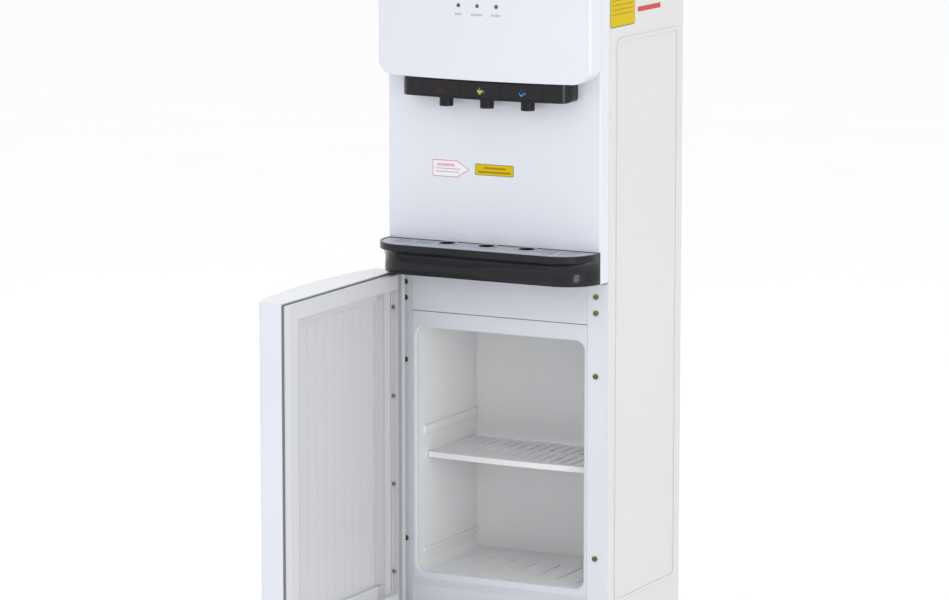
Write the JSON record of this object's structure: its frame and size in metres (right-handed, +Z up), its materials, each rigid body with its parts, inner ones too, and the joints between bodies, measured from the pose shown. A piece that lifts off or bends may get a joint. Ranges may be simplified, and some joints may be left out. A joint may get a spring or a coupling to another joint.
{
  "type": "water dispenser",
  "caption": "Floor-standing water dispenser with push-key taps, pull-out drip tray, bottle seat on top and a small cooled cabinet behind a bowed hinged door.",
  "frame": {"origin": "on the floor, under the middle of the cabinet's footprint", "axes": "+Z up, -Y towards the user in front of the taps, +X to the right of someone facing it"},
  "size_m": [0.35, 0.5682, 1.0043],
  "materials": {
    "white_steel": "satin white powder coat",
    "white_gloss": "glossy cool white moulding",
    "white_frame": "semi-matt white moulding",
    "liner_white": "smooth vacuum-formed liner",
    "door_grey": "smooth pale grey liner",
    "gloss_black": "high gloss black",
    "grid_grey": "satin dark grey",
    "lens_dark": "dark translucent lens",
    "gasket_pale": "soft pale magnetic gasket",
    "seal_dark": "dark rubber",
    "steel_bare": "plain steel",
    "screw_brass": "yellow passivated screw",
    "black_metal": "black enamel",
    "copper": "bare copper tube",
    "foam": "expanded foam",
    "felt": "felt sleeve",
    "board": "circuit board",
    "nylon": "natural nylon",
    "black_plastic": "matt black moulding",
    "silicone": "translucent silicone",
    "rocker_red": "glossy red rocker",
    "rocker_green": "glossy green rocker"
  },
  "bodies": {
    "cabinet": {"side_panel_left": "white_steel", "side_panel_right": "white_steel", "back_panel": "white_steel", "base_pan": "steel_bare", "feet": "seal_dark", "plinth": "white_gloss", "front_post_left": "white_frame", "front_post_right": "white_frame", "frame_screws": "screw_brass", "front_frame": "white_frame", "tray_apron": "white_frame", "mid_panel": "white_gloss", "upper_fascia": "white_gloss", "indicator_lenses": "lens_dark", "indicator_board": "board", "top_cover": "white_gloss", "cold_tank": "steel_bare", "evaporator_coil": "copper", "cold_tank_foam": "foam", "hot_tank": "steel_bare", "heater_band": "steel_bare", "hot_tank_jacket": "felt", "thermostats": "black_plastic", "tap_hoses": "silicone", "drain_spout": "nylon", "tap_bar": "gloss_black", "tap_hot": "black_plastic", "tap_normal": "black_plastic", "tap_cold": "black_plastic", "fridge_liner": "liner_white", "cabin_foam": "foam", "hinge_brackets": "steel_bare", "condenser": "black_metal", "compressor": "black_metal", "compressor_grommets": "seal_dark", "filter_drier": "copper", "copper_pipes": "copper", "control_box": "black_plastic", "switch_housings": "black_plastic", "cord_gland": "black_plastic"},
    "door": {"door_shell": "white_gloss", "gasket_carrier": "seal_dark", "door_liner": "door_grey", "door_gasket": "gasket_pale", "door_foam": "foam", "hinge_bushes": "nylon"},
    "shelf": {"fridge_shelf": "liner_white"},
    "tray": {"drip_tray": "gloss_black"},
    "grid": {"drip_grid": "grid_grey"},
    "key_hot": {"key_hot": "gloss_black", "key_spring_hot": "steel_bare"},
    "key_normal": {"key_normal": "gloss_black", "key_spring_normal": "steel_bare"},
    "key_cold": {"key_cold": "gloss_black", "key_spring_cold": "steel_bare"},
    "rocker_hot": {"rocker_hot": "rocker_red"},
    "rocker_cold": {"rocker_cold": "rocker_green"},
    "drain_plug": {"drain_plug": "silicone"},
    "bottle_seat": {"bottle_seat": "white_gloss", "feed_spike": "white_gloss"}
  },
  "joints": [
    {"name": "door_hinge", "type": "hinge", "parent": "cabinet", "child": "door", "pos_m": [-0.1475, -0.1335, 0.33], "axis": [0, 0, 1], "range_deg": [-25, 90]},
    {"name": "shelf_slide", "type": "slide", "parent": "cabinet", "child": "shelf", "axis": [0, 1, 0], "range_m": [-0.12, 0]},
    {"name": "tray_slide", "type": "slide", "parent": "cabinet", "child": "tray", "axis": [0, -1, 0], "range_m": [0, 0.06]},
    {"name": "grid_lift", "type": "slide", "parent": "tray", "child": "grid", "axis": [0, 0, 1], "range_m": [0, 0.05]},
    {"name": "key_hot_press", "type": "slide", "parent": "cabinet", "child": "key_hot", "axis": [0, 1, 0], "range_m": [0, 0.004], "stiffness_N_per_m": 400, "springref_m": -0.002},
    {"name": "key_normal_press", "type": "slide", "parent": "cabinet", "child": "key_normal", "axis": [0, 1, 0], "range_m": [0, 0.004], "stiffness_N_per_m": 400, "springref_m": -0.002},
    {"name": "key_cold_press", "type": "slide", "parent": "cabinet", "child": "key_cold", "axis": [0, 1, 0], "range_m": [0, 0.004], "stiffness_N_per_m": 400, "springref_m": -0.002},
    {"name": "rocker_hot_tilt", "type": "hinge", "parent": "cabinet", "child": "rocker_hot", "pos_m": [0.08, 0.112, 0.7], "axis": [1, 0, 0], "range_deg": [-8, 8]},
    {"name": "rocker_cold_tilt", "type": "hinge", "parent": "cabinet", "child": "rocker_cold", "pos_m": [0.105, 0.112, 0.7], "axis": [1, 0, 0], "range_deg": [-8, 8]},
    {"name": "drain_plug_pull", "type": "slide", "parent": "cabinet", "child": "drain_plug", "axis": [0, 1, 0], "range_m": [0, 0.02]},
    {"name": "bottle_seat_lift", "type": "slide", "parent": "cabinet", "child": "bottle_seat", "axis": [0, 0, 1], "range_m": [0, 0.08]}
  ]
}
